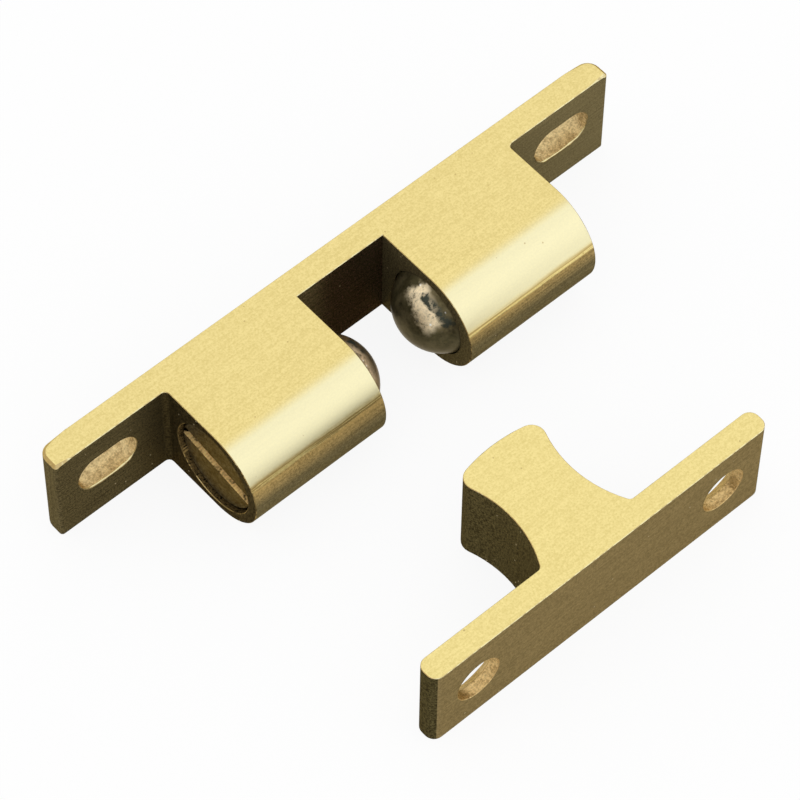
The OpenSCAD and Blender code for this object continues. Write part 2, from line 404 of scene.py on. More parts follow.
@dataclass(frozen=True)
class BrassFinish:
    """Drawn brass, lit and bright on its flats, with painted shade on its upright and under faces and in its
    recesses, and a cream painted highlight on the shoulders that turn to the front.
    """

    name: str
    # Colour of the flats, where they are lit.
    bright: Colour
    # Cream painted highlight on the shoulders that turn to the front.
    crest: Colour
    # Lighter painted shade of the noses' sloping faces; also the colour of nicks, pits and drawn lines.
    amber: Colour
    # Painted shade of the upright and under faces.
    dull: Colour
    shade: Colour
    rust: Colour
    edge: Colour
    wall: Colour
    wall_dirt: Colour
    glint: Colour = (0.60, 0.50, 0.32)
    rim: Colour = (0.45, 0.38, 0.24)
    grain_tone: Colour = (0.085, 0.080, 0.052)
    # Tilt at which the lit colour gives way to painted shade on the barrels' noses, and how much lower that
    # edge sits on the right barrel.
    polish_end: float = 0.43
    right_drop: float = 0.07
    # Strength of the painted shade in the corner of the left tab beside its barrel.
    corner_grime: float = 0.0
    streaks: float = 0.6
    bright_roughness: float = 0.42
    dull_roughness: float = 0.54
    dull_metal: float = 0.45

    def grained(self, tree: ShaderTree, share: Signal, colour: Colour) -> bpy.types.NodeSocket:
        """Spreads a colour of the lit faces over the light and dark of the grain."""
        dark = tuple(c - t for c, t in zip(colour, self.grain_tone))
        light = tuple(c + t for c, t in zip(colour, self.grain_tone))
        return tree.mix(share, dark, light)

    def make(self) -> bpy.types.Material:
        """Builds the material.

        Returns:
            The material, whose mesh carries the edge wear and highlight, painted shade and hole wall
            numbers.
        """
        material, tree = new_material(self.name)
        place = tree.place()
        face_x, face_y, face_z = tree.facing()
        wear_and_highlight, recess, wall = (tree.attribute(n) for n in (EDGE_WEAR_AND_HIGHLIGHT, PAINTED_SHADE, HOLE_WALL))
        along_x, along_y = tree.split(place)[:2]

        grain = tree.noise(place, 7.0, 2.0, 0.6)
        brushed = tree.noise(tree.scaled(place, (0.3, 6.0, 6.0)), 1.0, 2.0)
        speckle = (0.75 * grain + 0.25 * brushed).ramp(0.30, 0.70)
        grit = tree.noise(place, 2.2, 3.0, 0.65)
        cloud = tree.noise(place, 0.45, 2.0)
        drawn = tree.noise(tree.scaled(place, (0.10, 2.6, 2.6)), 1.0, 3.0)
        hair = tree.noise(tree.scaled(place, (0.12, 7.0, 7.0)), 1.0, 1.0)
        milled = tree.noise(tree.scaled(place, (5.0, 5.0, 0.25)), 1.0, 2.0)
        pits = tree.dots(place, 0.9, 0.085, 0.4)
        specks = tree.dots(place, 1.3, 0.10, 0.16)

        # The lit colour covers the flats and the faces that tilt less than the lit edge; past that edge,
        # which wanders and sits lower on the right barrel, faces get painted shade.
        front = (-face_y).ramp(0.03, 0.30)
        wander = 0.06 * (drawn - 0.5) + 0.05 * (cloud - 0.5)
        level = face_z + wander + self.right_drop * along_x.ramp(-0.1, 0.1) - self.polish_end
        flat = abs(face_z).ramp(0.86, 0.96)
        bright = level.ramp(-0.015, 0.015).highest(flat) * recess.ramp(0.75, 0.5)
        # A cream painted highlight on front-facing faces that tilt away from the top, above the edge of the
        # painted shade, weaker on the chamfers.
        crest = face_z.ramp(0.999, 0.93) * front * level.ramp(0.04, 0.15) * (1.0 - 0.3 * wear_and_highlight)
        # Drawn lines on the noses, shown only along the edge between the lit colour and the painted shade.
        lines = hair.ramp(0.50, 0.54) * level.ramp(-0.10, -0.01) * level.ramp(0.12, 0.05)
        lines = lines.highest(abs(level - 0.06).ramp(0.014, 0.005) * drawn.ramp(0.34, 0.44)) * front

        # Lit colour of the flats, with the painted highlight.
        lit_colour = tree.mix(
            crest, self.grained(tree, speckle, self.bright),
            self.grained(tree, 0.35 + 0.3 * speckle, self.crest),
        )
        in_gap = recess.ramp(0.8, 0.9) * abs(along_x).ramp(*GAP_SIDES)
        # Painted shade: each face darkens towards the dark brown by its shade level, with rust speckles in
        # the gap.
        shade_and_rust = tree.mix(in_gap * grain.ramp(0.50, 0.64), self.shade, self.rust)
        dull = tree.mix(recess, self.dull, shade_and_rust)
        # Less painted shade towards the gap's left side.
        dull = tree.mix(0.36 * in_gap * along_x.ramp(*GAP_OPEN_END), dull, self.dull)
        # Painted shade in the corner of the left tab beside its barrel.
        corner = along_x.ramp(*CORNER_START) * along_x.ramp(*CORNER_END)
        corner = corner * along_y.ramp(*CORNER_DEPTH) * along_y.ramp(*OFF_BACK)
        corner = corner * abs(face_z).ramp(0.6, 0.3)
        dull = tree.mix(self.corner_grime * corner, dull, self.shade)
        # Sloping faces of the noses get the amber, a lighter painted shade between the lit colour and the
        # shade of the upright faces.
        dull = tree.mix(face_z.ramp(0.02, 0.50) * recess.ramp(0.6, 0.4), dull, self.amber)
        ends = abs(face_x).ramp(0.3, 0.7)
        worked = hair + ends * (milled - hair)
        depth = 0.5 + 1.1 * recess
        # Deepest painted shade in the bores, and more in the middle of the gap.
        dark = 1.0 - 0.85 * recess.ramp(0.95, 1.0)
        dark = dark - 0.30 * in_gap * along_x.ramp(*GAP_MIDDLE_START) * along_x.ramp(*GAP_MIDDLE_END)
        tone = 1.0 + depth * (speckle - 0.5) + self.streaks * (worked - 0.5)
        dull = tree.dimmed(dull, tone * dark)

        # A broken tan band near each bore's mouth: less painted shade there, as painted light on the rim.
        mouth = recess.ramp(0.95, 1.0) * abs(along_x).ramp(*BORE_MOUTH) * grain.ramp(0.32, 0.56)
        dull = tree.mix(0.5 * mouth, dull, self.edge)

        colour = tree.mix(bright, dull, lit_colour)
        colour = tree.mix(0.85 * lines, colour, self.amber)
        mottle = 0.4 * grain + 0.6 * grit
        walls = tree.mix(mottle.ramp(0.32, 0.60), self.wall_dirt, self.wall)
        colour = tree.mix(wall, colour, tree.dimmed(walls, 0.6 + 0.8 * grain))
        # Edge wear on the chamfers of the upright faces.
        rubbed = wear_and_highlight * ends.highest(abs(face_z).ramp(0.5, 0.3)) * grain.ramp(0.28, 0.48)
        colour = tree.mix(0.85 * rubbed * recess.ramp(1.0, 0.6), colour, self.edge)
        end_nicks = 0.75 * along_x.ramp(*LEFT_TAB_END) * grit.ramp(0.3, 0.5)
        nicks = (0.6 * grit.ramp(0.50, 0.58)).highest(end_nicks)
        colour = tree.mix(nicks * wear_and_highlight * recess.ramp(0.98, 0.92), colour, self.amber)
        colour = tree.mix(0.7 * specks * (1.0 - bright), colour, self.glint)
        colour = tree.mix(0.6 * pits * bright, colour, self.amber)

        tree.surface(
            Base_Color=colour,
            Metallic=self.dull_metal + (1.0 - self.dull_metal) * bright,
            Specular_IOR_Level=0.0,
            Specular_Tint=self.rim,
            Roughness=self.dull_roughness
            + (self.bright_roughness - self.dull_roughness) * bright
            + 0.16 * (grain - 0.5),
            Normal=tree.bump(0.6 * grain + 0.3 * hair - pits, 0.4, 0.014 * MM),
        )
        return material


@dataclass(frozen=True)
class TurnedFinish:
    """Turned brass of a screw, kept dark, with a painted highlight along the walls of its slot."""

    name: str
    # Colour of the painted highlight on the slot's walls.
    bright: Colour
    dull: Colour
    dark: Colour
    roughness: float = 0.46

    def make(self, axis_y: float) -> bpy.types.Material:
        """Builds the material.

        Args:
            axis_y: Place of the screw's axis along Y, in metres.

        Returns:
            The material.
        """
        material, tree = new_material(self.name)
        place = tree.shifted(tree.place(), (0.0, axis_y / MM, 0.0))
        across, tall = tree.split(place)[1:]
        from_axis = tree.math("SQRT", across * across + tall * tall, 0.0)
        wear_and_highlight = tree.attribute(EDGE_WEAR_AND_HIGHLIGHT)
        grain = tree.noise(place, 5.0, 4.0, 0.7)
        patch = tree.noise(place, 1.7, 3.0, 0.6)
        cloud = tree.noise(place, 0.8, 2.0)
        rings = tree.math("SINE", from_axis * 30.0 + 5.0 * cloud, 0.0)
        colour = tree.mix(grain.ramp(0.32, 0.68), self.dark, self.dull)
        # Painted highlight on the walls of the slot.
        slot_wall_highlight = wear_and_highlight * patch.ramp(0.34, 0.52)
        colour = tree.mix(slot_wall_highlight, colour, self.bright)
        tone = 0.20 + 0.10 * rings + 1.2 * patch
        tree.surface(
            Base_Color=tree.dimmed(colour, tone * (1.0 + 0.2 * slot_wall_highlight)),
            Metallic=0.55 - 0.25 * wear_and_highlight,
            Specular_IOR_Level=0.0,
            Specular_Tint=self.bright,
            Roughness=self.roughness + 0.2 * (grain - 0.5),
            Normal=tree.bump(grain + 0.25 * rings, 0.4, 0.014 * MM),
        )
        return material


@dataclass(frozen=True)
class BallMark:
    """A long mark on a ball, by directions from the ball's centre and parts of its radius."""

    middle: Point
    along: Point
    half_length: float
    half_width: float
    softness: float = 0.05

    def mask(
        self, tree: ShaderTree, place: bpy.types.NodeSocket, wobble: Signal
    ) -> Signal:
        """Shows where the mark is.

        Args:
            tree: The material's tree.
            place: Place from the ball's centre, in radii.
            wobble: What makes the outline uneven, about 0.

        Returns:
            1 in the mark and 0 outside.
        """
        middle = Vector(self.middle).normalized()
        along = Vector(self.along)
        along = (along - middle * along.dot(middle)).normalized()
        inside = tree.along(place, tuple(middle)).ramp(0.0, 0.2)
        for direction, half in ((along, self.half_length), (middle.cross(along), self.half_width)):
            offset = abs(tree.along(place, tuple(direction)) + wobble)
            inside = inside * offset.ramp(half + self.softness, half - self.softness)
        return inside


@dataclass(frozen=True)
class BallFinish:
    """Polished steel of a ball, kept dark, with a pale painted reflection, a dark painted reflection beside
    it, painted glints and painted shade underneath.
    """

    name: str
    dark: Colour
    film: Colour
    # Colour of the pale painted reflection.
    rubbed: Colour
    # Colour of the dark painted reflection beside it.
    stain: Colour
    glint: Colour
    roughness: float = 0.32

    def make(
        self, centre: Vector, radius: float, rub: BallMark, stain: BallMark
    ) -> bpy.types.Material:
        """Builds the material.

        Args:
            centre: The ball's centre.
            radius: The ball's radius.
            rub: Where a pale reflection is painted on the ball.
            stain: Where a dark reflection is painted beside it.

        Returns:
            The material.
        """
        material, tree = new_material(self.name)
        place = tree.shifted(tree.place(), tuple(c / MM for c in centre))
        place = tree.scaled(place, (MM / radius,) * 3)
        ripple = tree.noise(place, 3.0, 3.0, 0.6)
        blotch = tree.noise(place, 9.0, 3.0, 0.6)
        grain = tree.noise(place, 18.0, 3.0, 0.7)
        wobble = 0.24 * (ripple - 0.5) + 0.22 * (blotch - 0.5)
        rubbed = rub.mask(tree, place, wobble)
        dark_reflection_mask = stain.mask(tree, place, 0.8 * wobble)
        glints = tree.dots(place, 7.0, 0.22, 0.30) * rubbed.highest(dark_reflection_mask)
        # Painted shade: the ball's lighter film fades out towards its underside.
        underside_shade = tree.split(place)[2].ramp(0.45, -0.40)
        colour = tree.mix(ripple.ramp(0.35, 0.70) * (1.0 - 0.8 * underside_shade), self.dark, self.film)
        # Pale painted reflection, mottled.
        colour = tree.mix(rubbed * (grain + blotch).ramp(0.42, 0.95), colour, self.rubbed)
        # Dark painted reflection beside the pale one.
        colour = tree.mix(dark_reflection_mask * (0.45 + 0.55 * blotch.ramp(0.38, 0.56)), colour, self.stain)
        colour = tree.mix(0.9 * glints, colour, self.glint)
        tree.surface(
            Base_Color=tree.dimmed(colour, 0.25 + 0.8 * grain + 0.7 * blotch),
            Metallic=0.50 + 0.30 * rubbed,
            Specular_IOR_Level=0.1,
            Specular_Tint=self.rubbed,
            Roughness=self.roughness + 0.25 * (grain - 0.5) + 0.12 * rubbed,
            Normal=tree.bump(grain, 0.4, 0.010 * MM),
        )
        return material


@dataclass(frozen=True)
class WireFinish:
    """Drawn spring wire, oiled."""

    name: str
    clean: Colour
    oiled: Colour
    roughness: float = 0.34

    def make(self) -> bpy.types.Material:
        """Builds the material."""
        material, tree = new_material(self.name)
        place = tree.place()
        film = tree.noise(place, 1.6, 3.0)
        grain = tree.noise(place, 14.0, 2.0)
        tree.surface(
            Base_Color=tree.mix(film.ramp(0.42, 0.62), self.oiled, self.clean),
            Metallic=1.0,
            Roughness=self.roughness + 0.25 * (film - 0.5),
            Normal=tree.bump(grain, 0.25, 0.006 * MM),
        )
        return material


def cad_mesh(node: str) -> bmesh.types.BMesh:
    """Copies a CAD node's solid as an editable mesh of whole faces.

    Args:
        node: The node's name.

    Returns:
        The mesh, welded, with its coplanar triangles joined.
    """
    mesh = bmesh.new()
    mesh.from_mesh(frame["nodes"][node].data)
    bmesh.ops.remove_doubles(mesh, verts=mesh.verts, dist=WELD)
    bmesh.ops.dissolve_limit(
        mesh, angle_limit=math.radians(0.4), verts=mesh.verts, edges=mesh.edges
    )
    return mesh


def break_edges(
    mesh: bmesh.types.BMesh,
    width: float,
    chosen: Optional[Callable[[Vector], bool]] = None,
    angle: float = 32.0,
) -> None:
    """Chamfers a mesh's sharp outer edges and marks the new faces as worn.

    Args:
        mesh: The mesh to change.
        width: Width taken off each face beside an edge.
        chosen: Tells from an edge's middle if it is chamfered, or none for all that aren't yet.
        angle: Least angle between an edge's faces, in degrees.
    """
    layers = mesh.faces.layers.float
    wear_and_highlight = layers.get(EDGE_WEAR_AND_HIGHLIGHT) or layers.new(EDGE_WEAR_AND_HIGHLIGHT)
    sharp = [
        e for e in mesh.edges
        if e.is_manifold and e.is_convex and e.calc_face_angle() > math.radians(angle)
        and not any(f[wear_and_highlight] for f in e.link_faces)
        and (chosen is None or chosen((e.verts[0].co + e.verts[1].co) / 2))
    ]
    made = bmesh.ops.bevel(
        mesh, geom=sharp, offset=width, offset_type="OFFSET", segments=1,
        profile=0.5, affect="EDGES", clamp_overlap=True,
    )
    for face in made["faces"]:
        face[wear_and_highlight] = 1.0


@dataclass(frozen=True)
class FaceMarks:
    """What a brass finish needs to know of a face."""

    # Amount of painted shade, up to 1.
    recess: float = 0.0
    hole_wall: float = 0.0


def mark_faces(
    mesh: bmesh.types.BMesh, marks: Callable[[Vector, Vector], FaceMarks]
) -> None:
    """Marks each face of a mesh for its finish.

    Args:
        mesh: The mesh to mark.
        marks: Gives a face's marks from its middle and its normal.
    """
    recess = mesh.faces.layers.float.new(PAINTED_SHADE)
    hole_wall = mesh.faces.layers.float.new(HOLE_WALL)
    for face in mesh.faces:
        found = marks(face.calc_center_median(), face.normal)
        face[recess] = found.recess
        face[hole_wall] = found.hole_wall


def smooth(mesh: bmesh.types.BMesh, angle: float = 28.0, flat_area: float = 5.0 * MM * MM) -> None:
    """Shades a mesh smooth, except over large flats and across sharp edges.

    Args:
        mesh: The mesh to shade.
        angle: Least angle of a sharp edge, in degrees.
        flat_area: Least area of a large flat.
    """
    for face in mesh.faces:
        face.smooth = face.calc_area() < flat_area
    for edge in mesh.edges:
        edge.smooth = edge.is_manifold and edge.calc_face_angle() < math.radians(angle)


def show(
    mesh: bmesh.types.BMesh, name: str, material: bpy.types.Material
) -> bpy.types.Object:
    """Makes a shown piece of an editable mesh.

    Args:
        mesh: The mesh, which is used up.
        name: The piece's name.
        material: Its finish.

    Returns:
        The piece, which doesn't ride on a body yet.
    """
    smooth(mesh)
    data = bpy.data.meshes.new(name)
    mesh.to_mesh(data)
    mesh.free()
    piece = bpy.data.objects.new(name, data)
    data.materials.append(material)
    bpy.context.scene.collection.objects.link(piece)
    log.info("%s: %d faces", name, len(data.polygons))
    return piece


def tube(
    path: Sequence[Vector], radii: Sequence[float], sides: int, flat_axis: Optional[Vector] = None
) -> bmesh.types.BMesh:
    """Sweeps a round section along a path.

    Args:
        path: Points of the centre line.
        radii: The section's radius at each point.
        sides: Points round the section.
        flat_axis: Direction that the section's first axis keeps to, or none for straight up.

    Returns:
        The closed tube.
    """
    mesh = bmesh.new()
    keep = flat_axis or Vector((0, 0, 1))
    rings = []
    for i, (point, radius) in enumerate(zip(path, radii)):
        along = (path[min(i + 1, len(path) - 1)] - path[max(i - 1, 0)]).normalized()
        first = (keep - along * keep.dot(along)).normalized()
        second = along.cross(first)
        turns = [2 * math.pi * k / sides for k in range(sides)]
        rings.append([
            mesh.verts.new(point + radius * (math.cos(a) * first + math.sin(a) * second))
            for a in turns
        ])
    for near, far in zip(rings, rings[1:]):
        for k in range(sides):
            n = (k + 1) % sides
            mesh.faces.new((near[k], near[n], far[n], far[k]))
    mesh.faces.new(rings[0][::-1])
    mesh.faces.new(rings[-1])
    bmesh.ops.recalc_face_normals(mesh, faces=mesh.faces)
    return mesh


@dataclass
class CatchBody:
    """The brass body: a slotted flange with two bored barrels in front."""

    finish: BrassFinish
    edge_break: float = 0.12 * MM
    end_break: float = 0.22 * MM
    end_round: float = 1.05 * MM
    flange_thick: float = 2.0 * MM
    barrel_end: float = 15.4 * MM
    gap_half: float = 3.85 * MM
    bore_r: float = 3.63 * MM
    slot_x: float = 20.575 * MM
    slot_rise: float = 0.5 * MM
    slot_straight: float = 0.95 * MM
    slot_r: float = 1.55 * MM
    burr_r: float = 0.065 * MM
    burr_steps: int = 70
    burr_wave: float = 0.8
    burr_wave_length: float = 0.35 * MM
    bore_margin: float = 0.12 * MM
    gap_margin: float = 0.2 * MM
    gap_depth: float = 11.0 * MM
    fillet_margin: float = 0.02 * MM
    fillet_least: float = 0.01 * MM
    front_margin: float = 0.1 * MM
    slot_margin: float = 0.03 * MM

    @cached_property
    def axis_y(self) -> float:
        """Place of the bores' axis along Y."""
        low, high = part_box("left_ball")
        return (low.y + high.y) / 2

    @cached_property
    def corners(self) -> tuple[Vector, Vector]:
        """The body's lowest and highest corners."""
        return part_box("catch_body")

    def at_tab_end(self, middle: Vector) -> bool:
        """Tells an edge over the end of a tab by its middle."""
        high = self.corners[1]
        return abs(middle.x) > high.x - self.end_round and middle.z > high.z - WELD

    def in_slot(self, middle: Vector, normal: Vector) -> bool:
        """Tells a wall of a screw slot by its middle and normal."""
        across = max(0.0, abs(abs(middle.x) - self.slot_x) - self.slot_straight)
        from_slot = math.hypot(across, middle.z - self.slot_rise)
        return abs(normal.y) < 0.3 and from_slot < self.slot_r + self.slot_margin

    def marks(self, middle: Vector, normal: Vector) -> FaceMarks:
        """Marks a face of the body.

        Args:
            middle: The face's middle.
            normal: The face's normal.

        Returns:
            Its marks.
        """
        from_axis = math.hypot(middle.y - self.axis_y, middle.z)
        if self.in_slot(middle, normal):
            return FaceMarks(hole_wall=1.0)
        if from_axis < self.bore_r + self.bore_margin and abs(normal.x) < SIDEWAYS:
            return FaceMarks(Hollow.BORE.value)
        if abs(normal.z) > SIDEWAYS or normal.y > SIDEWAYS:
            return FaceMarks()
        endways = abs(normal.x) > SIDEWAYS
        in_front = -self.flange_thick - middle.y
        left = middle.x < 0
        if abs(middle.x) < self.gap_half + self.gap_margin and middle.y > -self.gap_depth:
            kind = Hollow.GAP_SIDE if endways else Hollow.GAP_BACK
        elif abs(middle.x) > self.barrel_end + self.fillet_margin and in_front > self.fillet_least:
            kind = Hollow.LEFT_NOTCH if left else Hollow.RIGHT_NOTCH
        elif in_front > self.front_margin:
            kind = Hollow.BARREL_END if endways else Hollow.NOSE
        elif normal.y < -SIDEWAYS:
            kind = Hollow.LEFT_TAB if left else Hollow.RIGHT_TAB
        else:
            kind = Hollow.TAB_END
        return FaceMarks(kind.value)

    def burr(self, side: Side) -> bmesh.types.BMesh:
        """Raises the uneven burr along the lower rim of a screw slot.

        Args:
            side: Which end's slot.

        Returns:
            The burr's mesh.
        """
        middle = Vector((side.value * self.slot_x, -self.flange_thick, self.slot_rise))
        path, radii = [], []
        for i in range(self.burr_steps + 1):
            a = math.pi * (1.02 + 0.98 * i / self.burr_steps)
            shift = self.slot_straight * max(-1.0, min(1.0, 2.2 * math.cos(a)))
            out = Vector((math.cos(a), 0, math.sin(a))) * self.slot_r
            point = middle + out + Vector((shift, 0, 0))
            wave = noise.noise(point / self.burr_wave_length)
            ends = math.sin(math.pi * i / self.burr_steps) ** 0.5
            path.append(point)
            radii.append(self.burr_r * (0.15 + 0.85 * ends) * (1.0 + self.burr_wave * wave))
        return tube(path, radii, 8, Vector((0, 1, 0)))

    def build(self) -> list[bpy.types.Object]:
        """Builds the body and the burrs of its slots.

        Returns:
            The new pieces.
        """
        material = self.finish.make()
        mesh = cad_mesh("catch_body")
        break_edges(mesh, self.end_break, self.at_tab_end)
        break_edges(mesh, self.edge_break)
        mark_faces(mesh, self.marks)
        body = show(mesh, "body", material)
        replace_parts(body, "catch_body")
        pieces = [body]
        for side in Side:
            burr = show(self.burr(side), f"{side.word}_slot_burr", material)
            pieces.append(burr)
        for piece in pieces:
            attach(piece, "catch_body")
        return pieces


@dataclass
class Strike:
    """The brass strike: a plate with a waisted tongue."""

    finish: BrassFinish
    edge_break: float = 0.09 * MM
    plate_thick: float = 1.85 * MM
    hole_x: float = 11.0 * MM
    sink_r: float = 3.4 * MM
    sink_facing: float = 0.95
    plate_margin: float = 0.1 * MM

    @cached_property
    def corners(self) -> tuple[Vector, Vector]:
        """The strike's lowest and highest corners."""
        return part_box("strike")

    def marks(self, middle: Vector, normal: Vector) -> FaceMarks:
        """Marks a face of the strike.

        Args:
            middle: The face's middle.
            normal: The face's normal.

        Returns:
            Its marks.
        """
        low, high = self.corners
        centre = (low + high) / 2
        from_hole = math.hypot(abs(middle.x - centre.x) - self.hole_x, middle.z - centre.z)
        if from_hole < self.sink_r and abs(normal.y) < self.sink_facing:
            return FaceMarks(hole_wall=1.0)
        if abs(normal.z) > SIDEWAYS:
            return FaceMarks()
        if middle.y > low.y + self.plate_thick + self.plate_margin:
            return FaceMarks(Hollow.TONGUE.value)
        if abs(normal.x) > SIDEWAYS:
            return FaceMarks(Hollow.STRIKE_END.value)
        return FaceMarks() if normal.y < -SIDEWAYS else FaceMarks(Hollow.STRIKE_FRONT.value)

    def build(self) -> list[bpy.types.Object]:
        """Builds the strike.

        Returns:
            The new pieces.
        """
        mesh = cad_mesh("strike")
        break_edges(mesh, self.edge_break)
        mark_faces(mesh, self.marks)
        strike = show(mesh, "strike_plate", self.finish.make())
        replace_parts(strike, "strike")
        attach(strike, "strike")
        return [strike]


@dataclass
class BallUnit:
    """What one barrel holds: a ball, the spring behind it and the adjuster screw."""

    side: Side
    ball_finish: BallFinish
    wire_finish: WireFinish
    screw_finish: TurnedFinish
    # Where the ball's pale and dark painted reflections lie.
    rub: BallMark
    stain: BallMark
    slot_turn: float
    ball_detail: int = 5
    ball_wave: float = 0.006 * MM
    ball_wave_length: float = 1.1 * MM
    wire_r: float = 0.225 * MM
    coil_r: float = 2.975 * MM
    spring_turns: float = 4.0
    end_turns: float = 0.8
    closed_pitch: float = 0.4725 * MM
    rings_per_turn: int = 40
    wire_sides: int = 12
    ball_share: float = 0.6
    spring_seat: float = 0.45 * MM
    thread_pitch: float = 0.75 * MM
    thread_depth: float = 0.34 * MM
    thread_rows: int = 8
    thread_columns: int = 96
    thread_flank: float = 1.25
    screw_chamfer: float = 0.15 * MM
    slot_width: float = 0.95 * MM
    slot_depth: float = 0.9 * MM
    slot_edge: float = 0.05 * MM

    @cached_property
    def axis_y(self) -> float:
        """Place of the bore's axis along Y."""
        low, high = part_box(self.name("ball"))
        return (low.y + high.y) / 2

    def name(self, piece: str) -> str:
        """Names a piece of this side."""
        return f"{self.side.word}_{piece}"

    def build_ball(self) -> bpy.types.Object:
        """Builds the ball, a little uneven from use.

        Returns:
            The ball.
        """
        low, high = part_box(self.name("ball"))
        centre, radius = (low + high) / 2, (high.x - low.x) / 2
        mesh = bmesh.new()
        bmesh.ops.create_icosphere(mesh, subdivisions=self.ball_detail, radius=radius)
        for vert in mesh.verts:
            wave = 0.5 + 0.5 * noise.noise(vert.co / self.ball_wave_length)
            vert.co *= 1.0 - wave * self.ball_wave / radius
        bmesh.ops.translate(mesh, verts=mesh.verts, vec=centre)
        material = self.ball_finish.make(centre, radius, self.rub, self.stain)
        ball = show(mesh, self.name("steel_ball"), material)
        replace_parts(ball, self.name("ball"))
        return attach(ball, self.name("ball"))

    def wire_point(self, turns: float) -> Vector:
        """Finds the middle of the spring's wire.

        Args:
            turns: Turns from the end at the ball.

        Returns:
            The point.
        """
        low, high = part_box(self.name("spring"))
        span = high.x - low.x - 2 * self.wire_r
        closed = self.end_turns * self.closed_pitch
        open_turns = self.spring_turns - 2 * self.end_turns
        if turns < self.end_turns:
            along = turns * self.closed_pitch
        elif turns > self.spring_turns - self.end_turns:
            along = span - (self.spring_turns - turns) * self.closed_pitch
        else:
            along = closed + (turns - self.end_turns) / open_turns * (span - 2 * closed)
        near = low.x if self.side is Side.RIGHT else -high.x
        a = 2 * math.pi * turns
        out = Vector((0, math.cos(a), math.sin(a))) * self.coil_r
        out.x = near + self.wire_r + along
        if self.side is Side.LEFT:
            out.x, out.y = -out.x, -out.y
        return out + Vector((0, self.axis_y, 0))

    def build_spring(self) -> list[bpy.types.Object]:
        """Builds the spring in two lengths: the one by the ball rides on the body, and the one by the screw
        is weighted to blend from the body to the spring.

        Returns:
            The two lengths.
        """
        material = self.wire_finish.make()
        split = self.ball_share * self.spring_turns
        lengths = {}
        for word, start, end in (("ball", 0.0, split), ("screw", split, self.spring_turns)):
            steps = round((end - start) * self.rings_per_turn)
            path = [self.wire_point(start + (end - start) * i / steps) for i in range(steps + 1)]
            mesh = tube(path, [self.wire_r] * len(path), self.wire_sides, Vector((1, 0, 0)))
            piece = show(mesh, self.name(f"spring_{word}_end"), material)
            lengths[word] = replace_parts(piece, self.name("spring"))
        joint_x = self.wire_point(split).x
        near_x = self.wire_point(0.0).x - self.side.value * self.wire_r
        travel = next(
            j for j in frame["joints"] if j["name"] == self.name("ball_press")
        )["range_m"][1]
        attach(lengths["ball"], "catch_body")
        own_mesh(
            lengths["ball"], self.name("ball_press"), axis=(1, 0, 0),
            anchor=(joint_x, self.axis_y, 0),
            keep=1.0 - travel / (abs(joint_x - near_x) - self.spring_seat),
        )
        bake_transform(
            lengths["screw"], "catch_body", self.name("spring"),
            start=(joint_x, self.axis_y, 0),
            end=(self.wire_point(self.spring_turns).x, self.axis_y, 0),
        )
        return list(lengths.values())

    def threaded_blank(self, low: Vector, high: Vector) -> bmesh.types.BMesh:
        """Turns the adjuster's threaded blank.

        Args:
            low: Lowest corner of its CAD node.
            high: Highest corner of its CAD node.

        Returns:
            The blank's closed mesh, on its own axis.
        """
        mesh = bmesh.new()
        radius, length = (high.z - low.z) / 2, high.x - low.x
        rows = round(length / self.thread_pitch * self.thread_rows)
        rings = []
        for i in range(rows + 1):
            along = length * i / rows
            inset = max(0.0, self.screw_chamfer - min(along, length - along))
            ring = []
            for k in range(self.thread_columns):
                turn = k / self.thread_columns
                wave = (along / self.thread_pitch - self.side.value * turn) % 1.0
                groove = max(0.0, 1.0 - abs(2.0 * wave - 1.0) * self.thread_flank) * self.thread_depth
                edge = min(1.0, min(along, length - along) / self.screw_chamfer)
                r = radius - max(inset, groove * edge)
                a = 2 * math.pi * turn
                ring.append(mesh.verts.new((low.x + along, r * math.cos(a), r * math.sin(a))))
            rings.append(ring)
        for near, far in zip(rings, rings[1:]):
            for k in range(self.thread_columns):
                n = (k + 1) % self.thread_columns
                mesh.faces.new((near[k], near[n], far[n], far[k]))
        mesh.faces.new(rings[0][::-1])
        mesh.faces.new(rings[-1])
        bmesh.ops.recalc_face_normals(mesh, faces=mesh.faces)
        return mesh

    def cut_slot(self, blank: bpy.types.Object, face_x: float) -> None:
        """Cuts the screwdriver slot across a blank's outer face.

        Args:
            blank: The screw's blank, on its own axis.
            face_x: Place of its outer face.
        """
        low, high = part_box(self.name("adjuster"))
        depth, across = 2 * self.slot_depth, 1.2 * (high.z - low.z)
        cutter = bmesh.new()
        bmesh.ops.create_cube(cutter, size=1.0)
        bmesh.ops.scale(cutter, verts=cutter.verts, vec=(depth, across, self.slot_width))
        turn = Matrix.Rotation(math.radians(self.slot_turn), 4, "X")
        bmesh.ops.transform(cutter, matrix=turn, verts=cutter.verts)
        bmesh.ops.translate(cutter, verts=cutter.verts, vec=(face_x, 0, 0))
        tool_data = bpy.data.meshes.new("slot_tool")
        cutter.to_mesh(tool_data)
        cutter.free()
        tool = bpy.data.objects.new("slot_tool", tool_data)
        bpy.context.scene.collection.objects.link(tool)
        cut = blank.modifiers.new("slot", "BOOLEAN")
        cut.object, cut.operation, cut.solver = tool, "DIFFERENCE", "EXACT"
        ready = blank.evaluated_get(bpy.context.evaluated_depsgraph_get())
        result = bpy.data.meshes.new_from_object(ready)
        blank.modifiers.clear()
        blank.data = result
        bpy.data.objects.remove(tool)
        bpy.data.meshes.remove(tool_data)

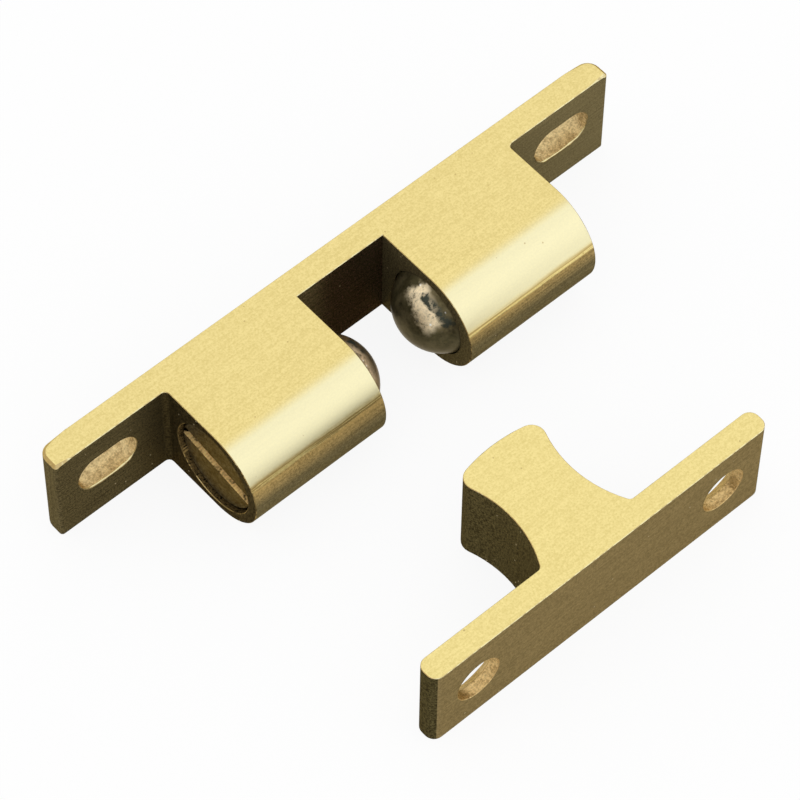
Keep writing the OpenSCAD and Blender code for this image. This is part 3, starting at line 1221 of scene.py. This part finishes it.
    def build_adjuster(self) -> bpy.types.Object:
        """Builds the slotted adjuster screw with its thread.

        Returns:
            The screw.
        """
        low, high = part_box(self.name("adjuster"))
        face_x = high.x if self.side is Side.RIGHT else low.x
        material = self.screw_finish.make(self.axis_y)
        name = self.name("adjuster_screw")
        screw = show(self.threaded_blank(low, high), name, material)
        self.cut_slot(screw, face_x)
        mesh = bmesh.new()
        mesh.from_mesh(screw.data)
        bmesh.ops.remove_doubles(mesh, verts=mesh.verts, dist=WELD)
        # The walls of the screw's slot get the edge mark, which its finish paints with a highlight.
        wear_and_highlight = mesh.faces.layers.float.new(EDGE_WEAR_AND_HIGHLIGHT)
        for face in mesh.faces:
            inward = abs(face.calc_center_median().x - face_x)
            face[wear_and_highlight] = 1.0 if abs(face.normal.x) < 0.5 and inward < self.slot_depth else 0.0
        smooth(mesh)
        mesh.to_mesh(screw.data)
        mesh.free()
        screw.data.transform(Matrix.Translation((0, self.axis_y, 0)))
        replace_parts(screw, self.name("adjuster"))
        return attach(screw, self.name("adjuster"))

    def build(self) -> list[bpy.types.Object]:
        """Builds all of this barrel's pieces, and gives them."""
        return [self.build_ball(), *self.build_spring(), self.build_adjuster()]


@dataclass(frozen=True)
class PhotoCamera:
    """The camera, at the photograph's viewing angle."""

    azimuth: float = -42.139
    elevation: float = 56.789
    roll: float = 0.812
    distance: float = 310.97 * MM
    focal_px: float = 4431.18
    image_px: float = 800.0
    sensor_mm: float = 36.0
    target: Point = (1.819 * MM, -6.251 * MM, -9.422 * MM)

    def build(self) -> None:
        """Makes the camera and gives it to the scene."""
        a, e, r = (math.radians(v) for v in (self.azimuth, self.elevation, self.roll))
        back = Vector((math.sin(a) * math.cos(e), -math.cos(a) * math.cos(e), math.sin(e)))
        level = Vector((math.cos(a), math.sin(a), 0.0))
        upright = back.cross(level)
        right = math.cos(r) * level + math.sin(r) * upright
        up = back.cross(right)
        place = Vector(self.target) + self.distance * back
        camera = bpy.data.objects.new("photo_camera", bpy.data.cameras.new("photo_camera"))
        camera.data.sensor_width = self.sensor_mm
        camera.data.lens = self.sensor_mm * self.focal_px / self.image_px
        camera.data.clip_start = 0.01
        camera.matrix_world = Matrix((right, up, back)).transposed().to_4x4()
        camera.matrix_world.translation = place
        bpy.context.scene.collection.objects.link(camera)
        bpy.context.scene.camera = camera


@dataclass(frozen=True)
class Studio:
    """The pale floor and the soft light."""

    floor_colour: Colour = (0.92, 0.92, 0.92)
    floor_size: float = 1.6
    floor_drop: float = 0.01 * MM
    floor_white: float = 0.90
    zenith: float = 1.0
    horizon: float = 0.97
    key_direction: Point = (0.37, -0.70, 0.60)
    key_distance: float = 0.40
    key_size: tuple[float, float] = (0.30, 0.24)
    key_radiance: float = 0.14

    def build_floor(self) -> None:
        """Lays the floor under the lowest point of the CAD model."""
        mesh = bmesh.new()
        bmesh.ops.create_grid(mesh, x_segments=2, y_segments=2, size=self.floor_size / 2)
        data = bpy.data.meshes.new("floor")
        mesh.to_mesh(data)
        mesh.free()
        floor = bpy.data.objects.new("floor", data)
        floor.location.z = CAD_BOX[0].z - self.floor_drop
        material, tree = new_material("pale_floor")
        path = tree.node("ShaderNodeLightPath").outputs
        seen = Signal(tree, path["Is Camera Ray"])
        for ray in ("Is Glossy Ray", "Is Transmission Ray"):
            seen = seen.highest(Signal(tree, path[ray]))
        paper = tree.node("ShaderNodeBsdfDiffuse", inputs={"Color": self.floor_colour})
        white = tree.node("ShaderNodeEmission", inputs={"Color": (1.0, 1.0, 1.0), "Strength": 1.0})
        shader = tree.node("ShaderNodeMixShader", inputs={
            "Fac": self.floor_white * seen,
            "Shader": paper.outputs["BSDF"],
            "Shader_001": white.outputs["Emission"],
        })
        tree.node("ShaderNodeOutputMaterial", inputs={"Surface": shader.outputs["Shader"]})
        data.materials.append(material)
        bpy.context.scene.collection.objects.link(floor)

    def build_dome(self) -> None:
        """Lights the scene evenly from all round, a little more from above."""
        world = bpy.data.worlds.new("soft_dome")
        world.use_nodes = True
        tree = ShaderTree(world.node_tree)
        height = tree.split(tree.node("ShaderNodeTexCoord").outputs["Generated"])[2]
        colour = tree.mix(height.ramp(0.0, 0.7), (self.horizon,) * 3, (self.zenith,) * 3)
        shader = tree.node("ShaderNodeBackground", inputs={"Color": colour, "Strength": 1.0})
        tree.node("ShaderNodeOutputWorld", inputs={"Surface": shader.outputs["Background"]})
        bpy.context.scene.world = world

    def build_key(self) -> None:
        """Hangs a softbox over the front, which lays the highlight on the barrels' noses."""
        lamp = bpy.data.lights.new("key_softbox", "AREA")
        lamp.shape = "RECTANGLE"
        lamp.size, lamp.size_y = self.key_size
        lamp.energy = math.pi * self.key_size[0] * self.key_size[1] * self.key_radiance
        softbox = bpy.data.objects.new("key_softbox", lamp)
        direction = Vector(self.key_direction).normalized()
        softbox.location = direction * self.key_distance
        softbox.rotation_euler = direction.to_track_quat("Z", "Y").to_euler()
        bpy.context.scene.collection.objects.link(softbox)

    def build(self) -> None:
        """Builds the floor and the lights."""
        self.build_floor()
        self.build_dome()
        self.build_key()
        bpy.context.scene.view_settings.view_transform = "Standard"


# In the brass finishes the cream is a painted highlight, and the amber, the dull brown and the near black
# are painted shade on sloping, upright and hollow faces; the amber also colours nicks, pits and drawn lines.
BODY_BRASS = BrassFinish(
    name="body_brass", bright=(0.85, 0.70, 0.29), crest=(0.925, 0.862, 0.548),
    amber=(0.50, 0.345, 0.125), dull=(0.205, 0.165, 0.082), shade=(0.034, 0.024, 0.009),
    rust=(0.060, 0.027, 0.022), edge=(0.36, 0.24, 0.09), wall=(0.78, 0.61, 0.31),
    wall_dirt=(0.44, 0.31, 0.14), corner_grime=0.7,
)
STRIKE_BRASS = BrassFinish(
    name="strike_brass", bright=(0.88, 0.733, 0.302), crest=(0.925, 0.862, 0.548),
    amber=(0.40, 0.28, 0.11), dull=(0.25, 0.185, 0.084), shade=(0.045, 0.040, 0.017),
    rust=(0.055, 0.044, 0.018), edge=(0.46, 0.28, 0.105), wall=(0.78, 0.58, 0.27),
    wall_dirt=(0.42, 0.28, 0.11), streaks=0.25,
)
# The screw's bright colour is a painted highlight on its slot's walls.
SCREW_BRASS = TurnedFinish(
    name="adjuster_brass", bright=(0.90, 0.64, 0.27), dull=(0.158, 0.124, 0.066),
    dark=(0.050, 0.036, 0.016),
)
# The balls' pale tan is a painted reflection, their green-grey a dark painted reflection, and their glint a
# painted highlight.
BALL_STEEL = BallFinish(
    name="ball_steel", dark=(0.060, 0.050, 0.022), film=(0.150, 0.122, 0.062),
    rubbed=(0.82, 0.68, 0.45), stain=(0.045, 0.050, 0.038), glint=(0.95, 0.92, 0.84),
)
LEFT_STEEL = replace(
    BALL_STEEL, name="left_ball_steel", film=(0.23, 0.145, 0.062), rubbed=(0.74, 0.57, 0.37)
)
# Pale and dark painted reflections on each ball.
RIGHT_REFLECTION = BallMark((-0.69, -0.22, 0.69), (-0.24, -0.84, -0.49), 0.45, 0.23, 0.09)
RIGHT_DARK_REFLECTION = BallMark((-0.543, -0.46, 0.70), (0.108, -0.86, -0.50), 0.40, 0.09, 0.03)
LEFT_REFLECTION = BallMark((0.60, -0.42, 0.68), (-0.05, -0.80, -0.52), 0.42, 0.10, 0.16)
LEFT_DARK_REFLECTION = BallMark((0.70, -0.05, 0.71), (-0.05, -0.80, -0.52), 0.20, 0.08)
SPRING_WIRE = WireFinish(name="spring_steel", clean=(0.44, 0.43, 0.41), oiled=(0.20, 0.17, 0.12))


def main() -> None:
    """Builds the camera, the studio and every piece of the catch."""
    logging.basicConfig(level=logging.INFO, format="%(name)s: %(message)s")
    PhotoCamera().build()
    Studio().build()
    units = [
        BallUnit(
            Side.LEFT, LEFT_STEEL, SPRING_WIRE, SCREW_BRASS,
            rub=LEFT_REFLECTION, stain=LEFT_DARK_REFLECTION, slot_turn=10.0,
        ),
        BallUnit(
            Side.RIGHT, BALL_STEEL, SPRING_WIRE, SCREW_BRASS,
            rub=RIGHT_REFLECTION, stain=RIGHT_DARK_REFLECTION, slot_turn=35.0,
        ),
    ]
    for assembly in (CatchBody(BODY_BRASS), *units, Strike(STRIKE_BRASS)):
        for piece in assembly.build():
            log.info("%s is in place", piece.name)


if __name__ == "__main__":
    main()
